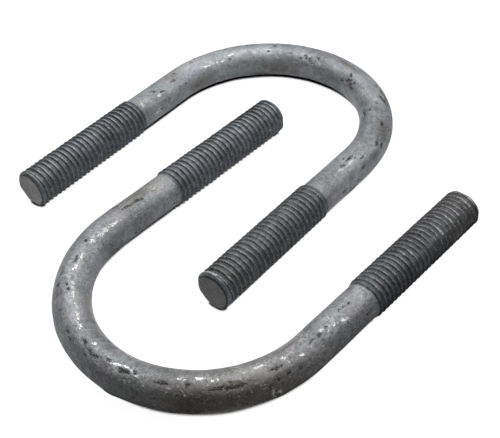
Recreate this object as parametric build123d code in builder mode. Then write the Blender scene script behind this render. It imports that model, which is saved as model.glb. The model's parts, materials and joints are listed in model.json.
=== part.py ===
"""Pair of nested M10 U-bolts for 48.3 mm pipe, hot-dip galvanised, lying flat.

Frame: +X along the length of the nested pair, +Z up, origin on the floor
at the middle of the pair. Both bolts lie on the floor, each with one leg
between the other's legs.
"""

import os
from math import cos, radians, sin

from build123d import *

os.makedirs("parts", exist_ok=True)

# Round bar, and the M10 thread rolled on it
THREAD_DIAMETER = 10.0
BAR_DIAMETER = 9.0

# The U: a half-circle seat for 48.3 mm pipe, and two straight legs. The legs
# are measured from the end of the bend, and are bare for the shank's length
LEG_SPACING = 62.0
SHANK_LENGTH = 18.5
FRONT_LEG_LENGTH = 59.0
REAR_LEG_LENGTH = 57.7

# Chamfer at the leg ends, and the run-out where the bar rises to the thread
END_CHAMFER = 0.5
RUN_OUT_LENGTH = 0.6

# How the pair lies: bend centres, and the turn of each bolt from the X axis
BEND_CENTRE_X = 27.9
FRONT_BEND_CENTRE_Y = -13.9
REAR_BEND_CENTRE_Y = 15.8
LAY_ANGLE = 1.4

thread_radius = THREAD_DIAMETER / 2
bar_radius = BAR_DIAMETER / 2
bend_radius = LEG_SPACING / 2
axis_height = thread_radius


def lay_plane(centre_x, centre_y, angle):
    """Plane of a bolt's centre-line: origin at its bend centre, x along its legs."""
    legs = (cos(radians(angle)), sin(radians(angle)), 0)
    return Plane(origin=(centre_x, centre_y, axis_height), x_dir=legs, z_dir=(0, 0, 1))


def make_u_bolt(lay, leg_length):
    """One bent bar with a thread on the end of each leg, in the plane `lay`."""
    with BuildPart() as u_bolt:
        # Bare bar: leg, half-circle bend, leg
        with BuildLine(lay) as centre_line:
            Line((SHANK_LENGTH, bend_radius), (0, bend_radius))
            CenterArc((0, 0), bend_radius, 90, 180)
            Line((0, -bend_radius), (SHANK_LENGTH, -bend_radius))
        with BuildSketch(Plane(origin=centre_line.line @ 0, z_dir=centre_line.line % 0)):
            Circle(bar_radius)
        sweep(path=centre_line.line)

        # Threaded stud on each leg, at the thread's outer diameter: a short
        # run-out cone up from the bar, the thread, and a chamfer at the end
        for side in (1, -1):
            stud_axis = lay.shift_origin(lay.from_local_coords((0, side * bend_radius)))
            with BuildSketch(stud_axis):
                with BuildLine():
                    Polyline(
                        (SHANK_LENGTH, 0),
                        (SHANK_LENGTH, bar_radius),
                        (SHANK_LENGTH + RUN_OUT_LENGTH, thread_radius),
                        (leg_length - END_CHAMFER, thread_radius),
                        (leg_length, thread_radius - END_CHAMFER),
                        (leg_length, 0),
                        close=True,
                    )
                make_face()
            revolve(axis=Axis(stud_axis.origin, lay.x_dir))
    return u_bolt.part


front_u_bolt = make_u_bolt(lay_plane(-BEND_CENTRE_X, FRONT_BEND_CENTRE_Y, -LAY_ANGLE), FRONT_LEG_LENGTH)
front_u_bolt.label = "front_u_bolt"
export_step(front_u_bolt, "parts/front_u_bolt.step")

rear_u_bolt = make_u_bolt(lay_plane(BEND_CENTRE_X, REAR_BEND_CENTRE_Y, 180 + LAY_ANGLE), REAR_LEG_LENGTH)
rear_u_bolt.label = "rear_u_bolt"
export_step(rear_u_bolt, "parts/rear_u_bolt.step")

pair_size = Compound([front_u_bolt, rear_u_bolt]).bounding_box()
print("pair from", pair_size.min, "to", pair_size.max)
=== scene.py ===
import json
from itertools import product

import bpy
import numpy as np
from mathutils import Matrix, Vector


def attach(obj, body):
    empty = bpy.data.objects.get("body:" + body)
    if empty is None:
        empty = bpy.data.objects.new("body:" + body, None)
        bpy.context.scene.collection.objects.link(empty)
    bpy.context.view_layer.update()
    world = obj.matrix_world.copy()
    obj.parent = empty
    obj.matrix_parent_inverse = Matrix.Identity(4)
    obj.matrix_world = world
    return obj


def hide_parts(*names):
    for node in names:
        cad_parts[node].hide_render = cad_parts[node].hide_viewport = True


# Two nested M10 U-bolts, hot-dip galvanised, on a white floor as in the photo
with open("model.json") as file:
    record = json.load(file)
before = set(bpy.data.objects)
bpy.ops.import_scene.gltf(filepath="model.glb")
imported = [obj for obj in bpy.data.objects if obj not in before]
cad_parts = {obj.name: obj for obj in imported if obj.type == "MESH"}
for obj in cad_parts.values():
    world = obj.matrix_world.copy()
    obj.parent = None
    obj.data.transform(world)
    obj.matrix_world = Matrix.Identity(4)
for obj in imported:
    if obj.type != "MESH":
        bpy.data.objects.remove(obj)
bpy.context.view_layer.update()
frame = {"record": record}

# Lengths are in metres where nothing says mm
MM = 0.001

# ---------------------------------------------------------------- sizes

# The bolts, as the CAD part has them. Half a bend is a length along the centre-line
mounts = {mount["name"]: mount for mount in frame["record"]["mounts"]}
BEND_RADIUS = mounts["front_studs"]["dims"]["spacing_x_mm"] * MM / 2
HALF_BEND = np.pi * BEND_RADIUS / 2
THREAD_RADIUS = mounts["front_studs"]["dims"]["stud_r_mm"] * MM
BAR_RADIUS = 4.5 * MM
SHANK_LENGTH = 18.5 * MM
FRONT_LEG_LENGTH = 59.0 * MM
REAR_LEG_LENGTH = 57.7 * MM

# M10 x 1.5 thread under its zinc coat. The flats are shares of a turn, a higher
# sharpness makes the crests narrower, and the run-outs are how far past the shank
# the crests and the roots reach their full height and depth
PITCH = 1.5 * MM
ROOT_RADIUS = 4.38 * MM
CREST_FLAT = 0.04
ROOT_FLAT = 0.2
CREST_SHARPNESS = 1.4
RUN_OUT_CREST = 0.5 * MM
RUN_OUT_ROOT = 1.2 * MM
RUN_OUT_WANDER = 0.15 * MM
RUN_OUT_EDGE = 0.05 * MM

# Zinc left in the roots, in mm: the clots strewn about, what the last turn and the
# filled patches hold, and the most there is anywhere
CLOT = 0.22
LAST_TURN_FILL = 0.5
PATCH_FILL = 0.5
MOST_FILL = 0.56

# Crests: how deep their nicks are, and how far they stray from the helix, in shares
# of a turn, and how much further in a filled patch
NICK_DEPTH = 0.1 * MM
CREST_WANDER = 0.05
PATCH_WANDER = 0.15

# Painted highlights on the crests, where they face the light: how far around the bar
# in degrees, from which share of their height up, and how much less for each mm of
# zinc on the upper side
CREST_HIGHLIGHT_WIDTH = 26
CREST_HIGHLIGHT_HEIGHT = 0.78
CREST_HIGHLIGHT_LOSS = 3

# The bare bar's lumps: size and height in mm. Then the long ones, and how far the
# placed blemishes stand out or sink in
LUMPS = ((7, 0.04), (2.6, 0.03), (1.1, 0.016))
LONG_LUMP = 0.05
GLINT_LUMP = 0.05
PIT_LUMP = -0.1
DRIP_LUMP = 0.4

# The sheared ends: a flat disc with a ragged rim and a bevel, one side cut
# straight, and a lip of zinc behind it
END_DISC_RADIUS = 4.12 * MM
RIM_RAGGEDNESS = 0.13 * MM
BEVEL_RAGGEDNESS = 0.4
BEVEL_LENGTH = 0.45 * MM
LIP_RADIUS = 5.15 * MM
LIP_START = 0.1 * MM
LIP_END = 1.2 * MM
LIP_NICKS = 0.25
LAST_TURN = 1.1 * MM
FACE_DEPTH = 0.01 * MM

# Mesh density: points around the bar, the spacing of the rings along the thread and
# the bare bar, and the rings on each end face, its rim included
AROUND = 80
THREAD_ROW = PITCH / 14
BAR_ROW = 0.36 * MM
END_RINGS = 6

# Blemishes in the zinc: distance from the middle of the bend, angle around the
# bar (0 outwards, 90 up), half-length, half-width and tilt, in mm and degrees.
# The negative leg is the one inside the other bolt. The kinds are:
#   glint   painted highlights on small proud lumps, and painted sparkles on the thread's crests
#   pit     dark dents
#   stain   brown patches
#   wash    light streaks
#   pale    lighter stretches
#   dull    darker stretches
#   warm    browner stretches
#   drip    runs of zinc that stand out, painted dark as shade
#   filled  thread that is clogged with zinc
FRONT_MARKS = {
    "glint": (
        (-92, 117, 0.3, 0.6, 0), (-80, 102, 0.3, 0.5, 0), (-72, 113, 0.3, 0.6, 0),
        (-46.5, 119, 2.0, 0.3, -3), (-43, 116, 2.4, 0.45, -3), (-39, 110, 1.0, 0.4, -8),
        (-32.3, 108, 1.6, 0.4, 3), (-29.3, 106, 1.2, 0.6, -5), (-28.6, 98, 0.5, 0.4, 0),
        (-20.4, 107, 3.0, 0.45, 4), (-15.6, 108, 2.4, 0.45, -4), (-13.0, 100, 1.6, 0.35, -12),
        (-9.3, 92, 0.8, 0.3, 0), (-3.5, 91, 0.6, 0.3, 20), (3.6, 73, 0.7, 0.3, -20),
        (4.6, 79, 1.0, 0.3, 10), (5.0, 67, 0.35, 0.7, 0), (6.7, 82, 1.1, 0.3, 0),
        (8.3, 77, 0.9, 0.3, -28), (9.5, 69, 0.6, 0.4, -35), (19, 86, 0.6, 0.25, 0),
        (22.5, 88, 1.0, 0.35, -8), (25.5, 79, 0.7, 0.25, 0), (35.5, 91, 1.2, 0.25, 0),
        (36, 4, 0.25, 0.8, 0), (37.3, 0, 0.25, 0.7, 0), (40.5, 83, 0.6, 0.3, 10),
        (41, 66, 0.3, 0.4, 0), (44, 64, 0.6, 0.3, 0), (51.5, 82, 0.7, 0.3, 0),
        (54.3, 70, 1.2, 0.35, 0), (57.2, 57, 0.8, 0.4, -15), (68.7, 59, 0.4, 0.6, 0),
        (69.8, 94, 0.4, 0.6, 0), (78.5, 80, 0.4, 0.6, 0), (80.6, 80, 0.4, 0.6, 0),
        (82.6, 68, 0.4, 0.6, 0), (93.1, 56, 0.4, 0.6, 0), (97.7, 61, 0.4, 0.6, 0),
        (100.7, 62, 0.4, 0.6, 0), (104.6, 73, 0.3, 0.8, 0), (104.6, 54, 0.4, 0.6, 0),
    ),
    "pit": (
        (-56, 102, 1.5, 0.4, -8), (-53, 99, 1.0, 0.35, -10), (-31.5, 93, 0.7, 0.3, 0),
        (-27.5, 60, 0.4, 0.3, 0), (-24.2, 53, 0.4, 0.35, 0), (-23.5, 85, 0.5, 0.3, 10),
        (-10.3, 55, 0.9, 0.3, 0), (-5.4, 76, 0.9, 0.4, -20), (-3.4, 50, 0.9, 0.3, 0),
        (-2.3, 67, 1.1, 0.4, -10), (-0.3, 70, 0.8, 0.3, 10), (2.2, 79, 0.8, 0.25, 0),
        (6.5, 71, 1.3, 0.55, 0), (9.0, 78, 0.5, 0.4, -20), (15.3, 68, 1.6, 0.3, 0),
        (20.3, 70, 0.5, 0.5, 30), (26, 56, 2.2, 0.35, 5), (29, 54, 2.4, 0.4, 3),
        (37.5, 38, 0.6, 0.5, 0), (38, 67, 1.3, 0.3, 0), (39.7, 40, 0.5, 0.3, 0),
        (42.4, 38, 0.8, 0.3, 10), (48.0, 78, 1.1, 0.17, 8), (50.2, 77, 0.45, 0.4, 0),
        (58.4, 91, 0.5, 0.3, 30), (59.6, 88, 0.5, 0.3, 0), (61.2, 85, 0.4, 0.3, 0),
    ),
    "stain": (
        (-58, 92, 7, 2.0, 0), (-42, 190, 1.2, 1.5, 0), (-16.5, 148, 6, 1.2, -4),
        (24, 10, 8, 4.0, 0), (28.5, 57, 5.5, 1.1, 0), (32, 33, 3, 1.6, 0),
        (36.5, 12, 3.5, 3.0, 0), (43.5, 112, 3.5, 0.5, 0),
    ),
    "wash": (
        (-60, 116, 5, 0.9, 0), (-21, 92, 4, 1.0, 0), (7, 76, 3.2, 1.0, 0), (22, 84, 5, 0.9, 0),
        (35.5, 94, 3.5, 1.0, 0), (52, 74, 8, 1.2, 0), (65, 82, 1.6, 2.2, 0),
    ),
    "pale": (
        (-58, 80, 8, 3.0, 0), (-30, 55, 15, 4.0, 0), (-19, 35, 7, 2.6, 0), (-17, 168, 3, 1.5, 0),
        (6, 132, 4, 1.2, 0), (24, 50, 12, 1.4, 0), (45, 125, 5, 1.5, 0), (58, 105, 9, 2.5, 0),
    ),
    "dull": (
        (-100, 60, 12, 2.0, 0), (-40, 185, 5, 2.0, 0), (-31, 108, 6, 1.4, 0),
        (-30, 185, 6, 3.0, 0), (16, 92, 14, 2.2, 0), (26, 5, 12, 4.0, 0), (50, 75, 12, 1.6, 0),
        (72, 62, 7, 3.0, 0), (92, 60, 30, 12.0, 0),
    ),
    "warm": (
        (28, 20, 15, 9, 0), (106, 90, 14, 15, 0),
    ),
    "drip": (
        (-45, 205, 3.0, 1.2, 0), (4.5, 348, 1.4, 0.7, 0), (37.5, 345, 1.6, 0.7, 0),
    ),
    "filled": (
        (84, 38, 2.5, 0.8, 0), (91, 30, 4, 1.4, 0), (96, 60, 1.5, 0.7, 0), (100, 24, 8, 2.2, 0),
    ),
}
REAR_MARKS = {
    "glint": (
        (-105.2, 100, 0.3, 1.8, 0), (-103.4, 57, 0.3, 0.5, 0), (-93.1, 66, 0.3, 0.4, 0),
        (-88.8, 64, 0.3, 0.4, 0), (-57.5, 70, 1.1, 0.35, -5), (-54, 66, 1.4, 0.35, 0),
        (1.3, 136, 0.5, 0.25, 0), (5.1, 119, 0.5, 0.3, 0), (18.3, 114, 0.5, 0.2, 0),
        (30.6, 116, 1.1, 0.3, 10), (33.9, 132, 0.8, 0.35, 0), (36.1, 130, 0.8, 0.35, 0),
        (39.6, 131, 1.0, 0.4, -8), (59.5, 128, 1.2, 0.3, 0), (62.5, 176, 1.1, 0.4, 0),
        (65.9, 120, 0.4, 0.7, 0), (91, 111, 0.3, 0.6, 0), (95.8, 114, 0.3, 0.7, 0),
        (98.9, 118, 0.3, 0.9, 0), (101.8, 117, 0.3, 0.9, 0),
    ),
    "pit": (
        (-60.3, 4, 0.8, 0.4, 0), (-56.2, 76, 1.0, 0.3, -10), (-53, 80, 1.4, 0.35, 0),
        (-51.6, 25, 1.1, 0.3, 5), (-49.8, 53, 0.9, 0.3, 0), (-43, 50, 1.0, 0.4, 0),
        (-42.3, 31, 0.8, 0.5, 20), (-36, 64, 0.9, 0.4, 10), (-31, 136, 2.4, 0.4, 3),
        (-25.5, 61, 1.9, 0.5, 24), (-24.6, 45, 2.2, 0.4, 6), (-22, 55, 1.1, 0.4, 0),
        (-15.1, 148, 1.2, 0.45, -5), (-14.8, 126, 0.5, 0.3, -20), (-13.8, 140, 1.0, 0.4, 10),
        (-12.9, 131, 0.5, 0.5, 20), (-12.4, 132, 0.6, 0.4, 0), (-11.8, 141, 1.0, 0.3, 0),
        (-11.5, 114, 0.6, 0.3, -30), (-9.9, 150, 0.6, 0.3, 30), (2.4, 117, 0.6, 0.3, 20),
        (4.6, 131, 0.35, 0.8, 25), (6.3, 124, 0.3, 1.0, 30), (8.0, 133, 0.5, 0.3, 35),
        (11.5, 120, 0.6, 0.3, 10), (17, 90, 0.4, 0.7, 0), (18.7, 118, 0.5, 0.3, 0),
        (31.5, 133, 0.5, 0.4, 0), (43, 85, 0.5, 0.35, 0), (52.7, 113, 0.9, 0.3, -8),
        (59.6, 105, 0.5, 0.35, 0),
    ),
    "stain": (
        (-46, 28, 2, 0.8, 0), (-38, 55, 3.0, 1.0, 0), (-7.5, 88, 3.5, 0.9, 0),
        (10, 190, 1.6, 1.4, 0), (15.5, 185, 5, 1.6, 0), (44, 180, 4, 1.4, 0),
        (51.8, 95, 2.6, 1.2, 0),
    ),
    "wash": (
        (-55, 68, 5, 1.0, 0), (-24, 95, 3.5, 1.6, 0), (3, 124, 4, 1.3, 0), (24, 120, 9, 1.4, 0),
        (36, 128, 6, 1.2, 0), (64, 120, 3, 1.2, 0),
    ),
    "pale": (
        (-60, 30, 8, 4.0, 0), (-42, 55, 7, 3.5, 0), (-42, 100, 7, 3.0, 0), (-20, 52, 7, 2.2, 0),
        (-9, 68, 5, 1.6, 0), (22, 132, 12, 1.5, 0), (26, 150, 17, 3.2, 0), (45, 70, 20, 2.0, 0),
    ),
    "dull": (
        (-104, 90, 6, 15, 0), (-100, 10, 18, 5.0, 0), (-73, 80, 6, 8.0, 0), (-59, 72, 7, 1.6, 0),
        (-40, 90, 8, 6.0, 0), (-29, 98, 0.6, 2.5, 0), (-8, 185, 7, 2.0, 0), (2, 108, 5, 1.4, 0),
        (72, 112, 7, 3.0, 0),
    ),
    "warm": (
        (-96, 90, 18, 15, 0), (106, 90, 6, 15, 0),
    ),
    "drip": (
        (-57, 345, 2.0, 0.6, 0), (22, 212, 3.0, 0.8, 0),
    ),
    "filled": (),
}


# ---------------------------------------------------------------- noise

# The hash behind the noise: a large multiplier for each axis and for the seed, then
# the shifts and multipliers of a common 32-bit mixer
AXIS_MULTIPLIERS = (73856093, 19349663, 83492791)
SEED_MULTIPLIER = 2654435761
MIX_STEPS = ((15, 2246822519), (13, 3266489917))
LAST_SHIFT = 16
LAST_32_BITS = 0xFFFFFFFF


def lattice_noise(points, cell, seed):
    """Smooth noise from -1 to 1 at each point; cell is its size along each axis."""
    at = points / np.asarray(cell)
    low = np.floor(at).astype(np.int64)
    part = at - low
    part = part * part * (3 - 2 * part)
    total = np.zeros(len(points))
    for corner in product((0, 1), repeat=3):
        mixed = np.bitwise_xor.reduce((low + corner) * AXIS_MULTIPLIERS, axis=1)
        mixed = (mixed ^ seed * SEED_MULTIPLIER) & LAST_32_BITS
        for shift, multiplier in MIX_STEPS:
            mixed = (mixed ^ mixed >> shift) * multiplier & LAST_32_BITS
        value = (mixed ^ mixed >> LAST_SHIFT) / LAST_32_BITS * 2 - 1
        weight = np.where(corner, part, 1 - part).prod(axis=1)
        total += weight * value
    return total


def smoothstep(low, high, x):
    """0 up to low, 1 from high on, and a smooth rise between."""
    t = np.clip((x - low) / (high - low), 0, 1)
    return t * t * (3 - 2 * t)


def blemishes(s, phi, places):
    """How far into any of these blemishes each point is, from 0 to 1."""
    inside = np.zeros(s.shape)
    for distance, angle, half_length, half_width, tilt in places:
        along = s / MM - distance
        around = (phi - np.radians(angle) + np.pi) % (2 * np.pi) - np.pi
        around *= BAR_RADIUS / MM
        turn = np.radians(tilt)
        u = (along * np.cos(turn) + around * np.sin(turn)) / half_length
        v = (around * np.cos(turn) - along * np.sin(turn)) / half_width
        inside = np.maximum(inside, np.exp(-0.5 * (u * u + v * v)))
    return inside


# ---------------------------------------------------------------- the bolt's mesh

def stations(leg_length):
    """Distances along the centre-line, measured from the middle of the bend."""
    thread_start = HALF_BEND + SHANK_LENGTH
    end = HALF_BEND + leg_length
    bar = np.linspace(0, thread_start, round(thread_start / BAR_ROW), endpoint=False)
    thread = np.linspace(thread_start, end, round((end - thread_start) / THREAD_ROW))
    one_side = np.concatenate([bar, thread])
    return np.concatenate([-one_side[:0:-1], one_side])


def centre_line(distance):
    """Points of the centre-line in the bolt's plane, and the way out of the U there."""
    turn = np.clip(distance, -HALF_BEND, HALF_BEND) / BEND_RADIUS
    outward = np.stack([-np.cos(turn), -np.sin(turn)], axis=1)
    points = outward * BEND_RADIUS
    points[:, 0] += np.clip(np.abs(distance) - HALF_BEND, 0, None)
    return points, outward


class Skin:
    """A grid over the whole surface of a bolt: rings along it, and points around each.

    At each point, s is the distance from the middle of the bend, phi the angle around
    the bar, from_end the distance from the leg's end, straight the place on the bar if
    that is straightened out, and marks how far into each kind of blemish it is.
    """

    def __init__(self, leg_length, marks, seed):
        self.distance = stations(leg_length)
        angle = np.arange(AROUND) * 2 * np.pi / AROUND
        self.s, self.phi = np.meshgrid(self.distance, angle, indexing="ij")
        self.from_end = HALF_BEND + leg_length - np.abs(self.s)
        across, up = BAR_RADIUS * np.cos(self.phi), BAR_RADIUS * np.sin(self.phi)
        self.straight = np.stack([self.s, across, up], axis=-1)
        self.marks = {kind: blemishes(self.s, self.phi, places) for kind, places in marks.items()}
        self.seed = seed

    def bumps(self, cell, step):
        """Noise of this size in metres, the same or along each axis; each step has its own."""
        points = self.straight.reshape(-1, 3)
        return lattice_noise(points, cell, self.seed + step).reshape(self.s.shape)

    def by_leg(self, pairs):
        """Each of the values that the negative and the positive leg have, over all the rings."""
        return [np.where(self.s < 0, *pair) for pair in zip(*pairs)]


def bar_radius(skin):
    """The bare bar, with uneven zinc on it."""
    marks = skin.marks
    lumps = sum(high * skin.bumps(size * MM, step) for step, (size, high) in enumerate(LUMPS))
    lumps += LONG_LUMP * smoothstep(0.25, 0.8, skin.bumps((5 * MM, 1.4 * MM, 1.4 * MM), 3))
    lumps += GLINT_LUMP * marks["glint"] + PIT_LUMP * marks["pit"] + DRIP_LUMP * marks["drip"]
    return BAR_RADIUS + lumps * MM


def root_zinc(skin, fill):
    """Zinc in the roots: clots, the last turn's, the upper side's and the filled patches'."""
    zinc = CLOT * smoothstep(0.2, 0.9, skin.bumps((1.5 * MM, 2.4 * MM, 2.4 * MM), 7))
    zinc += LAST_TURN_FILL * (1 - smoothstep(0.8 * LAST_TURN, 1.3 * LAST_TURN, skin.from_end))
    zinc += fill * smoothstep(-0.3, 0.7, np.sin(skin.phi)) + PATCH_FILL * skin.marks["filled"]
    return np.minimum(zinc, MOST_FILL) * MM


def thread_profile(phase):
    """Height over one turn of thread, from 0 at the root to 1 at the crest, rounded."""
    from_crest = np.abs(phase - np.floor(phase) - 0.5)
    flank = (0.5 - ROOT_FLAT / 2 - from_crest) / (0.5 - (ROOT_FLAT + CREST_FLAT) / 2)
    flank = np.clip(flank, 0, 1)
    return (0.5 - 0.5 * np.cos(np.pi * flank)) ** CREST_SHARPNESS


def thread_radius(skin, crest_at, fill, nicks):
    """A right-handed helical thread that fades out unevenly at the shank.

    Gives its radius, its height from root to crest, and the share of the skin it has.
    """
    into_thread = np.abs(skin.s) - HALF_BEND - SHANK_LENGTH
    into_thread += RUN_OUT_WANDER * skin.bumps(2.2 * MM, 6)
    full_crest = smoothstep(0, RUN_OUT_CREST, into_thread)
    full_root = smoothstep(0, RUN_OUT_ROOT, into_thread)
    crest = BAR_RADIUS + (THREAD_RADIUS - BAR_RADIUS) * full_crest
    root = BAR_RADIUS + (ROOT_RADIUS + root_zinc(skin, fill) - BAR_RADIUS) * full_root

    # A crest is half a turn in. Its place is given on top, which is a quarter of the
    # way round, so another quarter is added
    wander = skin.bumps((1.2 * MM, 1.8 * MM, 1.8 * MM), 8)
    wander *= CREST_WANDER + PATCH_WANDER * skin.marks["filled"]
    turns = (skin.s - crest_at * MM) / PITCH + skin.phi / (2 * np.pi) + 0.25 + wander
    height = thread_profile(turns)
    radius = root + (crest - root) * height - NICK_DEPTH * nicks * nicks * height
    return radius, height, smoothstep(-RUN_OUT_EDGE, RUN_OUT_EDGE, into_thread)


def shear_ends(skin, radius, end_shapes, nicks):
    """The radius, cut back at the sheared ends, with a lip of zinc behind each."""
    cut, cut_reach, lip, lip_width = end_shapes
    cut_side = cut_reach * MM / np.clip(np.cos(skin.phi - np.radians(cut)), 0.5, None)
    ragged = skin.bumps(1.8 * MM, 5)
    disc = np.minimum(END_DISC_RADIUS + RIM_RAGGEDNESS * ragged, cut_side)
    slope = 1 + BEVEL_RAGGEDNESS * ragged
    radius = np.minimum(radius, disc + np.clip(skin.from_end, 0, None) * slope)
    from_lip = (np.degrees(skin.phi) - lip + 180) % 360 - 180
    behind = smoothstep(0, LIP_START, skin.from_end)
    behind *= 1 - smoothstep(0.6 * LIP_END, LIP_END, skin.from_end)
    lip_height = np.exp(-(from_lip / lip_width) ** 4) * behind * (1 - LIP_NICKS * nicks)
    return np.maximum(radius, disc + (LIP_RADIUS - disc) * lip_height)


def bolt_surface(skin, legs, ends):
    """The radius at each point of the skin, and what the material goes by there."""
    crest_at, fill, highlight_at = skin.by_leg(legs)
    *end_shapes, tone = skin.by_leg(ends)
    nicks = 0.5 + 0.5 * skin.bumps((1.0 * MM, 1.6 * MM, 1.6 * MM), 4)
    threaded, height, is_thread = thread_radius(skin, crest_at, fill, nicks)
    radius = bar_radius(skin) * (1 - is_thread) + threaded * is_thread
    radius = shear_ends(skin, radius, end_shapes, nicks)

    # Nothing sinks into the floor, which the thread's outer diameter rests on
    radius = np.minimum(radius, THREAD_RADIUS / np.clip(-np.sin(skin.phi), 0.1, None))

    # What the material goes by: shares from 0 to 1, but for the tone of a face. The
    # bevel's painted shade counts less behind a paler face
    past_bevel = smoothstep(0.7 * BEVEL_LENGTH, BEVEL_LENGTH, skin.from_end)
    in_last_turn = 1 - smoothstep(0.9 * LAST_TURN, 1.1 * LAST_TURN, skin.from_end)
    off_face = smoothstep(0, 0.1 * MM, skin.from_end)
    # Painted highlights on the crests, around the angle where they face the light
    unfilled = 1 - CREST_HIGHLIGHT_LOSS * fill
    near_highlight = np.exp(-((np.degrees(skin.phi) - highlight_at) / CREST_HIGHLIGHT_WIDTH) ** 2)
    return radius, {
        **skin.marks,
        "thread": is_thread,
        "height": height,
        "last_turn": past_bevel * in_last_turn,
        # Painted shade in the bevel
        "bevel": off_face * (1 - past_bevel) * (1 - tone) ** 3,
        "crest_highlight": is_thread * smoothstep(CREST_HIGHLIGHT_HEIGHT, 1, height) * unfilled * near_highlight,
        "face": np.where(skin.from_end < FACE_DEPTH, tone, 0.0),
    }


def close_ends(rings):
    """The rings, then the two middles that their flat end faces close in on."""
    shares = np.linspace(0, 1, END_RINGS + 1)[1:-1, None, None]
    middles = [rings[0].mean(axis=0), rings[-1].mean(axis=0)]
    first = middles[0] + (rings[0] - middles[0]) * shares
    last = middles[1] + (rings[-1] - middles[1]) * shares[::-1]
    closed = np.concatenate([first, rings, last])
    return np.concatenate([closed.reshape(-1, rings.shape[-1]), middles])


def ring_faces(count):
    """Quads between this many rings, and a fan on each end face."""
    row = np.arange(count - 1)[:, None] * AROUND
    col = np.arange(AROUND)[None, :]
    following = (col + 1) % AROUND
    corners = [row + col, row + AROUND + col, row + AROUND + following, row + following]
    faces = np.stack(corners, axis=-1).reshape(-1, 4).tolist()
    top = (count - 1) * AROUND
    for a, b in zip(col[0].tolist(), following[0].tolist()):
        faces.append((count * AROUND, a, b))
        faces.append((count * AROUND + 1, top + b, top + a))
    return faces


def make_bolt(name, mount, leg_length, legs, ends, marks, seed, material):
    """One closed mesh for a whole bolt, placed on its mount's point and axis."""
    skin = Skin(leg_length, marks, seed)
    radius, values = bolt_surface(skin, legs, ends)
    line, outward = centre_line(skin.distance)
    flat_part = line[:, None, :] + outward[:, None, :] * (radius * np.cos(skin.phi))[..., None]
    high_part = (radius * np.sin(skin.phi))[..., None]
    verts = close_ends(np.concatenate([flat_part, high_part], axis=-1))
    count = len(skin.distance) + 2 * (END_RINGS - 1)
    mesh = bpy.data.meshes.new(name)
    mesh.from_pydata(verts.tolist(), [], ring_faces(count))
    along = Vector(mount["axis"]).normalized()
    across = Vector((0, 0, 1)).cross(along)
    mesh.transform(Matrix((
        (along.x, across.x, 0, mount["pos_m"][0]),
        (along.y, across.y, 0, mount["pos_m"][1]),
        (0, 0, 1, mount["pos_m"][2]),
        (0, 0, 0, 1),
    )))
    mesh.update()

    for label, value in values.items():
        layer = mesh.attributes.new(label, "FLOAT", "POINT")
        layer.data.foreach_set("value", close_ends(value[..., None]).ravel().astype(np.float32))
    layer = mesh.attributes.new("straight", "FLOAT_VECTOR", "POINT")
    layer.data.foreach_set("vector", close_ends(skin.straight / MM).ravel().astype(np.float32))

    # The end faces are flat, with a sharp rim
    smooth = np.zeros(len(mesh.polygons), bool)
    smooth[(END_RINGS - 1) * AROUND:(count - END_RINGS) * AROUND] = True
    mesh.polygons.foreach_set("use_smooth", smooth)
    mesh.materials.append(material)
    bolt = bpy.data.objects.new(name, mesh)
    bpy.context.scene.collection.objects.link(bolt)
    return bolt


# ---------------------------------------------------------------- materials

# Base colours. The greys are tinted for each bolt
BAR_GREY = 0.385
THREAD_GREY = 0.235
LAST_TURN_GREY = 0.42
WASH_AND_HALO_GREY = 0.6
STAIN_BROWN = (0.19, 0.17, 0.145)
SEAM_AND_DRIP_SHADE_BLACK = (0.06, 0.06, 0.06, 1)
PIT_BLACK = (0.04, 0.042, 0.036, 1)
BEVEL_SHADE_BLACK = (0.07, 0.07, 0.07, 1)
PAINTED_GLINT_WHITE = (0.95, 0.95, 0.95, 1)
WORN_WHITE = (0.7, 0.7, 0.7, 1)
CREST_HIGHLIGHT_WHITE = (0.9, 0.9, 0.9, 1)
PAINTED_SPARKLE_WHITE = (0.8, 0.8, 0.8, 1)

# How far a tint goes towards lilac, green and brown, in red and in blue
LILAC = (1.04, 1.035)
GREEN = (0.965, 0.975)
BROWN = (1.055, 0.93)


def new_material(name):
    material = bpy.data.materials.new(name)
    material.use_nodes = True
    tree = material.node_tree
    return material, tree, tree.nodes["Principled BSDF"]


def node(tree, kind, inputs=(), **settings):
    """A new node; each input is linked if it is a socket, and set if it is a value."""
    made = tree.nodes.new(kind)
    for key, value in settings.items():
        setattr(made, key, value)
    for key, value in dict(inputs).items():
        if isinstance(value, bpy.types.NodeSocket):
            tree.links.new(value, made.inputs[key])
        else:
            made.inputs[key].default_value = value
    return made


def attribute(tree, name, output="Fac"):
    return node(tree, "ShaderNodeAttribute", attribute_name=name).outputs[output]


def mapped(tree, vector, **settings):
    return node(tree, "ShaderNodeMapping", {"Vector": vector, **settings}).outputs["Vector"]


def noise(tree, vector, scale, detail=3.0, roughness=0.55, distortion=0.0):
    """Noise about 0.5; a higher scale makes it finer."""
    made = node(tree, "ShaderNodeTexNoise", {
        "Vector": vector, "Scale": scale, "Detail": detail,
        "Roughness": roughness, "Distortion": distortion,
    })
    return made.outputs["Factor"] if "Factor" in made.outputs else made.outputs["Fac"]


def remap(tree, value, low, high, out_low=0.0, out_high=1.0):
    """The value, stretched so that low and high land on the out values, and held there."""
    made = node(tree, "ShaderNodeMapRange", {
        "Value": value, "From Min": low, "From Max": high, "To Min": out_low, "To Max": out_high,
    })
    return made.outputs["Result"]


def math(tree, operation, *values):
    made = node(tree, "ShaderNodeMath", enumerate(values), operation=operation)
    return made.outputs["Value"]


def vector_math(tree, operation, inputs, output="Vector"):
    return node(tree, "ShaderNodeVectorMath", inputs, operation=operation).outputs[output]


def blend(tree, factor, a, b):
    """Colour a where the factor is 0, and b where it is 1."""
    made = node(tree, "ShaderNodeMix", {0: factor, 6: a, 7: b}, data_type="RGBA")
    return made.outputs[2]


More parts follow.
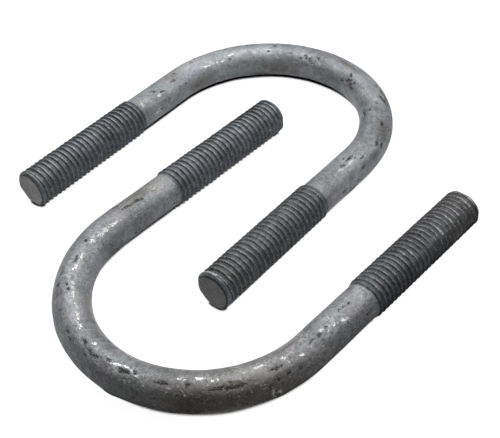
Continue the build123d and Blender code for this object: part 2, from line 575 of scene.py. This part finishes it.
def scaled(tree, colour, level):
    """A colour made brighter or darker."""
    if isinstance(colour, tuple):
        colour = colour[:3]
    return vector_math(tree, "SCALE", {0: colour, "Scale": level})


def shade(value, tint):
    """A grey of this brightness, tinted in red and in blue."""
    return (value * tint[0], value, value * tint[1], 1.0)


def drifting(tree, hue, warm, value, tint):
    """A tinted grey that drifts between lilac and green, and browner where warm is 1."""
    lilac = shade(value, (tint[0] * LILAC[0], tint[1] * LILAC[1]))
    green = shade(value * 1.01, (tint[0] * GREEN[0], tint[1] * GREEN[1]))
    brown = shade(value, (tint[0] * BROWN[0], tint[1] * BROWN[1]))
    return blend(tree, warm, blend(tree, hue, lilac, green), brown)


def zinc_material(name, shift, tone, tint, speckle, pitting):
    """Hot-dip galvanised steel: mottled zinc on the bar, darker in the thread.

    Its shift moves the textures along, so the bolts differ. Tone is the bar's
    brightness, speckle its graininess, and pitting how common its small pits are.
    """
    material, tree, shader = new_material(name)

    def times(a, b):
        return math(tree, "MULTIPLY", a, b)

    def most(a, b):
        return math(tree, "MAXIMUM", a, b)

    def swing(texture, share):
        """A factor about 1 that follows a texture, up to this share either way."""
        return remap(tree, texture, 0.38, 0.62, 1.0 - share, 1.0 + share)

    def zone(label, texture, share, low, high):
        """A listed zone, broken up by a texture."""
        broken = times(math(tree, "SUBTRACT", texture, 0.5), share)
        return remap(tree, math(tree, "ADD", attribute(tree, label), broken), low, high)

    # Where the textures are taken, in mm along the straightened bolt: as it is,
    # bent about, drawn out along the bar, and drawn out around it
    place = mapped(tree, attribute(tree, "straight", "Vector"), Location=(shift, 0, 0))
    wander = node(tree, "ShaderNodeTexNoise", {"Vector": place, "Scale": 1.3, "Detail": 3.0})
    wander = scaled(tree, wander.outputs["Color"], 1.1)
    wavy = vector_math(tree, "ADD", {0: place, 1: wander})
    along = mapped(tree, wavy, Scale=(0.5, 1, 1))
    around = mapped(tree, wavy, Scale=(0.6, 0.2, 0.2))

    cloud = noise(tree, place, 0.13, 4, 0.8, 0.3)
    patches = noise(tree, place, 0.4, 3, 0.6)
    mottle = noise(tree, wavy, 0.8, 3, 0.6)
    grain = noise(tree, place, 1.9, 3, 0.7, 0.4)
    flecks = noise(tree, along, 1.3, 3, 0.7)
    grit = noise(tree, along, 2.8, 3, 0.7)
    seams = noise(tree, around, 1.0, 2, 0.5)
    hue = remap(tree, noise(tree, wavy, 0.16, 3, 0.6), 0.42, 0.58)
    thread = attribute(tree, "thread")
    height = attribute(tree, "height")
    face = attribute(tree, "face")
    warm = attribute(tree, "warm")
    dull = attribute(tree, "dull")

    # Pits: small ones strewn all round, each with its own size, then the placed ones
    cells = node(tree, "ShaderNodeTexVoronoi", {"Vector": along, "Scale": 0.75})
    chance = node(tree, "ShaderNodeSeparateColor", {"Color": cells.outputs["Color"]})
    reach = remap(tree, chance.outputs["Red"], 1.0 - pitting, 1.0, 0.0, 0.28)
    pits = remap(tree, math(tree, "SUBTRACT", reach, cells.outputs["Distance"]), 0.0, 0.06)
    pits = times(pits, remap(tree, patches, 0.44, 0.52))
    pits = most(pits, zone("pit", grit, 3.0, 0.52, 0.76))

    # Painted highlights (glints): faint ones strewn all round, then the placed ones, but for in
    # the pits
    glints = times(remap(tree, grit, 0.63, 0.70), remap(tree, patches, 0.54, 0.46))
    placed_glints = zone("glint", grit, 4.5, 0.48, 0.68)
    glints = most(times(glints, 0.5), placed_glints)
    glints = times(glints, math(tree, "SUBTRACT", 1.0, pits))

    # Stains, streaks with a painted halo round each painted glint, and thin dark seams
    stain = zone("stain", mottle, 2.0, 0.2, 1.0)
    halo = zone("glint", flecks, 2.0, 0.2, 1.0)
    wash = most(zone("wash", flecks, 2.5, 0.3, 1.1), times(halo, 0.5))
    cracks = math(tree, "ABSOLUTE", math(tree, "SUBTRACT", seams, 0.5))
    cracks = times(remap(tree, cracks, 0.008, 0.001), remap(tree, mottle, 0.48, 0.6))

    # Bar: cloudy, with grain in patches and paler and duller stretches
    gritty = times(math(tree, "SUBTRACT", grain, 0.5), remap(tree, patches, 0.43, 0.56, 0.12, 1.3))
    specks = math(tree, "MULTIPLY_ADD", gritty, speckle / 0.12, 1.0)
    paler = remap(tree, attribute(tree, "pale"), 0.0, 1.0, 1.0, 1.3)
    stretches = times(paler, remap(tree, dull, 0.0, 1.0, 1.0, 0.75))
    level = times(times(swing(cloud, 0.2), stretches), times(swing(mottle, 0.17), specks))
    # Painted shade on the drips, which sit low by the floor
    drip_shade = remap(tree, attribute(tree, "drip"), 0.2, 0.9, 0.0, 0.6)
    bar = scaled(tree, drifting(tree, hue, warm, BAR_GREY * tone, tint), level)
    bar = blend(tree, times(stain, 0.7), bar, scaled(tree, STAIN_BROWN, level))
    # Paler streaks, and the painted halo round each painted glint
    bar = blend(tree, times(wash, 0.4), bar, scaled(tree, shade(WASH_AND_HALO_GREY, tint), level))
    # Dark seams, and the painted shade on the drips
    bar = blend(tree, most(times(cracks, 0.5), drip_shade), bar, SEAM_AND_DRIP_SHADE_BLACK)
    bar = blend(tree, times(pits, 0.9), bar, PIT_BLACK)
    # Painted highlights at the glints
    bar = blend(tree, times(glints, 0.9), bar, PAINTED_GLINT_WHITE)

    # Thread: more strongly tinted and darker than the bar, most of all where it is dull
    # or filled, with worn crests, painted crest highlights, a pale last turn and painted sparkles
    deep = (tint[0] ** 2, tint[1] ** 2)
    sunk = remap(tree, attribute(tree, "filled"), 0.0, 1.0, 1.0, 0.72)
    sunk = times(sunk, remap(tree, dull, 0.0, 1.0, 1.0, 0.86))
    blotches = times(swing(cloud, 0.22), times(swing(mottle, 0.22), swing(grain, 0.2)))
    threads = drifting(tree, hue, warm, THREAD_GREY, deep)
    threads = scaled(tree, threads, times(times(stretches, sunk), blotches))
    worn = times(remap(tree, height, 0.8, 1.0), remap(tree, flecks, 0.44, 0.58))
    threads = blend(tree, times(worn, 0.25), threads, WORN_WHITE)
    # Painted highlights on the crests
    crest_highlight = times(attribute(tree, "crest_highlight"), remap(tree, flecks, 0.4, 0.54))
    threads = blend(tree, times(crest_highlight, 0.9), threads, CREST_HIGHLIGHT_WHITE)
    last_turn = times(attribute(tree, "last_turn"), remap(tree, mottle, 0.35, 0.6, 0.3, 0.9))
    threads = blend(tree, last_turn, threads, shade(LAST_TURN_GREY, deep))
    # Painted sparkles on the crests, strewn about and at the placed glints
    painted_sparkles = times(remap(tree, grit, 0.60, 0.67), remap(tree, height, 0.7, 0.95))
    painted_sparkles = most(painted_sparkles, times(placed_glints, remap(tree, height, 0.25, 0.75)))
    threads = blend(tree, painted_sparkles, threads, PAINTED_SPARKLE_WHITE)
    # Painted shade in the bevel behind each end face
    threads = blend(tree, times(attribute(tree, "bevel"), 1.7), threads, BEVEL_SHADE_BLACK)
    colour = blend(tree, thread, bar, threads)

    # Sheared faces, each with its own tone
    disc = times(face, times(swing(grain, 0.12), swing(mottle, 0.12)))
    disc = scaled(tree, (1.0, 1.0, 1.0), disc)
    colour = blend(tree, remap(tree, face, 0.0, 0.1), colour, disc)
    tree.links.new(colour, shader.inputs["Base Color"])

    # The painted glints and the painted crest highlights are glossier as well
    shader.inputs["Metallic"].default_value = 0.5
    rough = remap(tree, flecks, 0.35, 0.65, 0.6, 0.5)
    shine = most(times(glints, remap(tree, thread, 0.0, 1.0, 0.35, 0.1)), times(crest_highlight, 0.3))
    tree.links.new(math(tree, "SUBTRACT", rough, shine), shader.inputs["Roughness"])

    # Fine relief
    relief = math(tree, "ADD", times(gritty, speckle), times(mottle, 0.8))
    relief = math(tree, "ADD", relief, times(glints, 0.4))
    relief = math(tree, "SUBTRACT", relief, most(pits, times(cracks, 0.4)))
    bump = node(tree, "ShaderNodeBump", {"Height": relief, "Strength": 0.5, "Distance": 0.15 * MM})
    tree.links.new(bump.outputs["Normal"], shader.inputs["Normal"])
    return material


# ---------------------------------------------------------------- the pieces

# For each bolt, after its names and leg length:
#   for each leg, the negative one first: the place in mm of a crest on its top, the
#   zinc on the upper side of its thread in mm, and the angle of its painted crest highlight
#   for each end: the angle of its cut side and how far out that is in mm, the angle
#   and half-width of its lip, and its face's tone
#   its blemishes, seed, tone, tint in red and in blue, speckle and pitting
bolts = (
    ("front_bolt_zinc", "front_u_bolt", "front_bolt", "front_pipe_seat", "front_zinc",
     FRONT_LEG_LENGTH,
     ((-87.6, 0.07, 108), (86.9, 0.17, 71)),
     ((270, 4.5, 250, 20, 0.38), (270, 4.5, 250, 20, 0.34)),
     FRONT_MARKS, 11, 1.03, (0.972, 1.05), 0.25, 0.3),
    ("rear_bolt_zinc", "rear_u_bolt", "rear_bolt", "rear_pipe_seat", "rear_zinc",
     REAR_LEG_LENGTH,
     ((-92.9, 0.18, 68), (92.9, 0.07, 112)),
     ((222, 3.95, 297, 36, 0.24), (318, 3.7, 226, 28, 0.54)),
     REAR_MARKS, 23, 1.1, (0.955, 1.045), 0.17, 0.55),
)

# How far along its bolt a texture moves for each step of the seed, in mm
TEXTURE_SHIFT = 40.0
for (name, cad_node, body, seat, slot, leg_length, legs, ends,
     marks, seed, tone, tint, speckle, pitting) in bolts:
    zinc = zinc_material(slot, seed * TEXTURE_SHIFT, tone, tint, speckle, pitting)
    bolt = make_bolt(name, mounts[seat], leg_length, legs, ends, marks, seed, zinc)
    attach(bolt, body)
    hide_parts(cad_node)


# ---------------------------------------------------------------- floor, light and camera

FLOOR_HALF_SIZE = 6.0
FLOOR_DARK = (0.24, 0.24, 0.24, 1)
FLOOR_LIGHT = (0.26, 0.26, 0.26, 1)
FLOOR_GLOW = 0.975
FLOOR_GRAIN = 40
BLACK = (0, 0, 0, 1)
WHITE = (1, 1, 1, 1)

# The painted contact shadow, a dark line on the floor: how far off a bar still darkens
# the floor, and how open the floor is, as a share, where it is black and where it is white
CONTACT_REACH = 1.5 * MM
CONTACT_BLACK = 0.46
CONTACT_WHITE = 0.62

# Soft panels that face the origin from this far off, each with its name, azimuth and
# elevation in degrees, width, depth and brightness
PANEL_DISTANCE = 0.36
PANELS = (
    ("right", 65, 42, 0.34, 0.30, 1.1),
    ("behind", 155, 45, 0.34, 0.30, 0.7),
    ("over_front", 20, 68, 0.26, 0.26, 1.05),
    ("over_back", 160, 68, 0.26, 0.26, 2.4),
)

# One more lies on the floor and shines up, in place of light from the floor
FLOOR_PANEL_HEIGHT = 0.05 * MM
FLOOR_PANEL_WIDTH = 110 * MM
FLOOR_PANEL_DEPTH = 90 * MM
FLOOR_PANEL_BRIGHTNESS = 0.19

# The world lights the bolts as the floor around them would: brightest from this
# azimuth and dimmest from the opposite one, by the cosine of the angle between, and
# in a band below the horizon. The band fades in and out between two heights each,
# the dark one first, where 0 is the horizon and -1 is straight down
WORLD_AZIMUTH = 150
WORLD_DIM = 0.25
WORLD_BRIGHT = 0.7
WORLD_DIM_FACING = -0.2
WORLD_BRIGHT_FACING = 0.6
WORLD_FADE_IN = (0.05, -0.2)
WORLD_FADE_OUT = (-0.9, -0.6)

# The camera: angles in degrees, lens and sensor in mm
CAMERA_AZIMUTH = -47.0
CAMERA_ELEVATION = 42.1
CAMERA_ROLL = -4.0
CAMERA_DISTANCE = 256.2 * MM
CAMERA_TARGET = Vector((-0.7, -3.6, 0.0)) * MM
CAMERA_LENS = 72.8
SENSOR_WIDTH = 36.0


def direction(azimuth, elevation):
    """The way from the origin to something at these angles, in degrees; azimuth 0 is -Y."""
    a, e = np.radians([azimuth, elevation])
    return Vector((np.sin(a) * np.cos(e), -np.cos(a) * np.cos(e), np.sin(e)))


def make_floor():
    """A white floor that glows like the photo's background, hidden from the bolts."""
    mesh = bpy.data.meshes.new("floor")
    corners = [(x * FLOOR_HALF_SIZE, y * FLOOR_HALF_SIZE, 0)
               for x, y in ((-1, -1), (1, -1), (1, 1), (-1, 1))]
    mesh.from_pydata(corners, [], [(0, 1, 2, 3)])
    material, tree, shader = new_material("floor_white")
    grain = noise(tree, node(tree, "ShaderNodeTexCoord").outputs["Object"], FLOOR_GRAIN, 2)
    colour = blend(tree, grain, FLOOR_DARK, FLOOR_LIGHT)

    # A painted contact shadow: a thin dark line where a bar all but touches the floor
    contact = node(tree, "ShaderNodeAmbientOcclusion", {"Distance": CONTACT_REACH}, samples=16)
    lit = remap(tree, contact.outputs["AO"], CONTACT_BLACK, CONTACT_WHITE)
    tree.links.new(scaled(tree, colour, lit), shader.inputs["Base Color"])
    tree.links.new(blend(tree, lit, BLACK, WHITE), shader.inputs["Emission Color"])
    shader.inputs["Roughness"].default_value = 0.9
    shader.inputs["Specular IOR Level"].default_value = 0.0
    shader.inputs["Emission Strength"].default_value = FLOOR_GLOW
    mesh.materials.append(material)
    floor = bpy.data.objects.new("floor", mesh)
    bpy.context.scene.collection.objects.link(floor)
    floor.visible_diffuse = False
    floor.visible_glossy = False


def panel_light(name, place, turn, width, depth, brightness):
    """A soft panel of the given brightness per area, unseen by the camera."""
    light = bpy.data.lights.new(name, "AREA")
    light.shape = "RECTANGLE"
    light.size = width
    light.size_y = depth
    light.energy = np.pi * width * depth * brightness
    lamp = bpy.data.objects.new(name, light)
    lamp.location = place
    lamp.rotation_euler = turn
    lamp.visible_camera = False
    bpy.context.scene.collection.objects.link(lamp)


def make_lights():
    for name, azimuth, elevation, width, depth, brightness in PANELS:
        out = direction(azimuth, elevation)
        turn = out.to_track_quat("Z", "Y").to_euler()
        panel_light(name, out * PANEL_DISTANCE, turn, width, depth, brightness)
    panel_light("floor_glow", (0, 0, FLOOR_PANEL_HEIGHT), (np.pi, 0, 0),
                FLOOR_PANEL_WIDTH, FLOOR_PANEL_DEPTH, FLOOR_PANEL_BRIGHTNESS)


def make_world():
    """Light from a band below the horizon, and none from straight below."""
    world = bpy.data.worlds.new("studio")
    bpy.context.scene.world = world
    world.use_nodes = True
    tree = world.node_tree
    sky = tree.nodes["Background"]
    way = node(tree, "ShaderNodeTexCoord").outputs["Generated"]
    height = node(tree, "ShaderNodeSeparateXYZ", {"Vector": way}).outputs["Z"]
    fade_in = remap(tree, height, *WORLD_FADE_IN)
    fade_out = remap(tree, height, *WORLD_FADE_OUT)
    band = math(tree, "MULTIPLY", fade_in, fade_out)
    facing = vector_math(tree, "DOT_PRODUCT", {0: way, 1: direction(WORLD_AZIMUTH, 0)}, "Value")
    level = remap(tree, facing, WORLD_DIM_FACING, WORLD_BRIGHT_FACING, WORLD_DIM, WORLD_BRIGHT)
    glow = blend(tree, math(tree, "MULTIPLY", band, level), BLACK, WHITE)
    tree.links.new(glow, sky.inputs["Color"])
    sky.inputs["Strength"].default_value = 1.0


def make_camera():
    """The camera that the photo was taken with, as fitted to the bolts' outlines."""
    back = direction(CAMERA_AZIMUTH, CAMERA_ELEVATION)
    level = Vector((0, 0, 1)).cross(back).normalized()
    above = back.cross(level)
    roll = np.radians(CAMERA_ROLL)
    right = level * np.cos(roll) + above * np.sin(roll)
    up = above * np.cos(roll) - level * np.sin(roll)
    turn = Matrix((right, up, back)).transposed().to_4x4()
    data = bpy.data.cameras.new("camera")
    data.sensor_fit = "HORIZONTAL"
    data.sensor_width = SENSOR_WIDTH
    data.lens = CAMERA_LENS
    data.clip_start = 0.01
    camera = bpy.data.objects.new("camera", data)
    camera.matrix_world = Matrix.Translation(CAMERA_TARGET + back * CAMERA_DISTANCE) @ turn
    bpy.context.scene.collection.objects.link(camera)
    bpy.context.scene.camera = camera


make_floor()
make_world()
make_lights()
make_camera()
bpy.context.scene.view_settings.view_transform = "Standard"
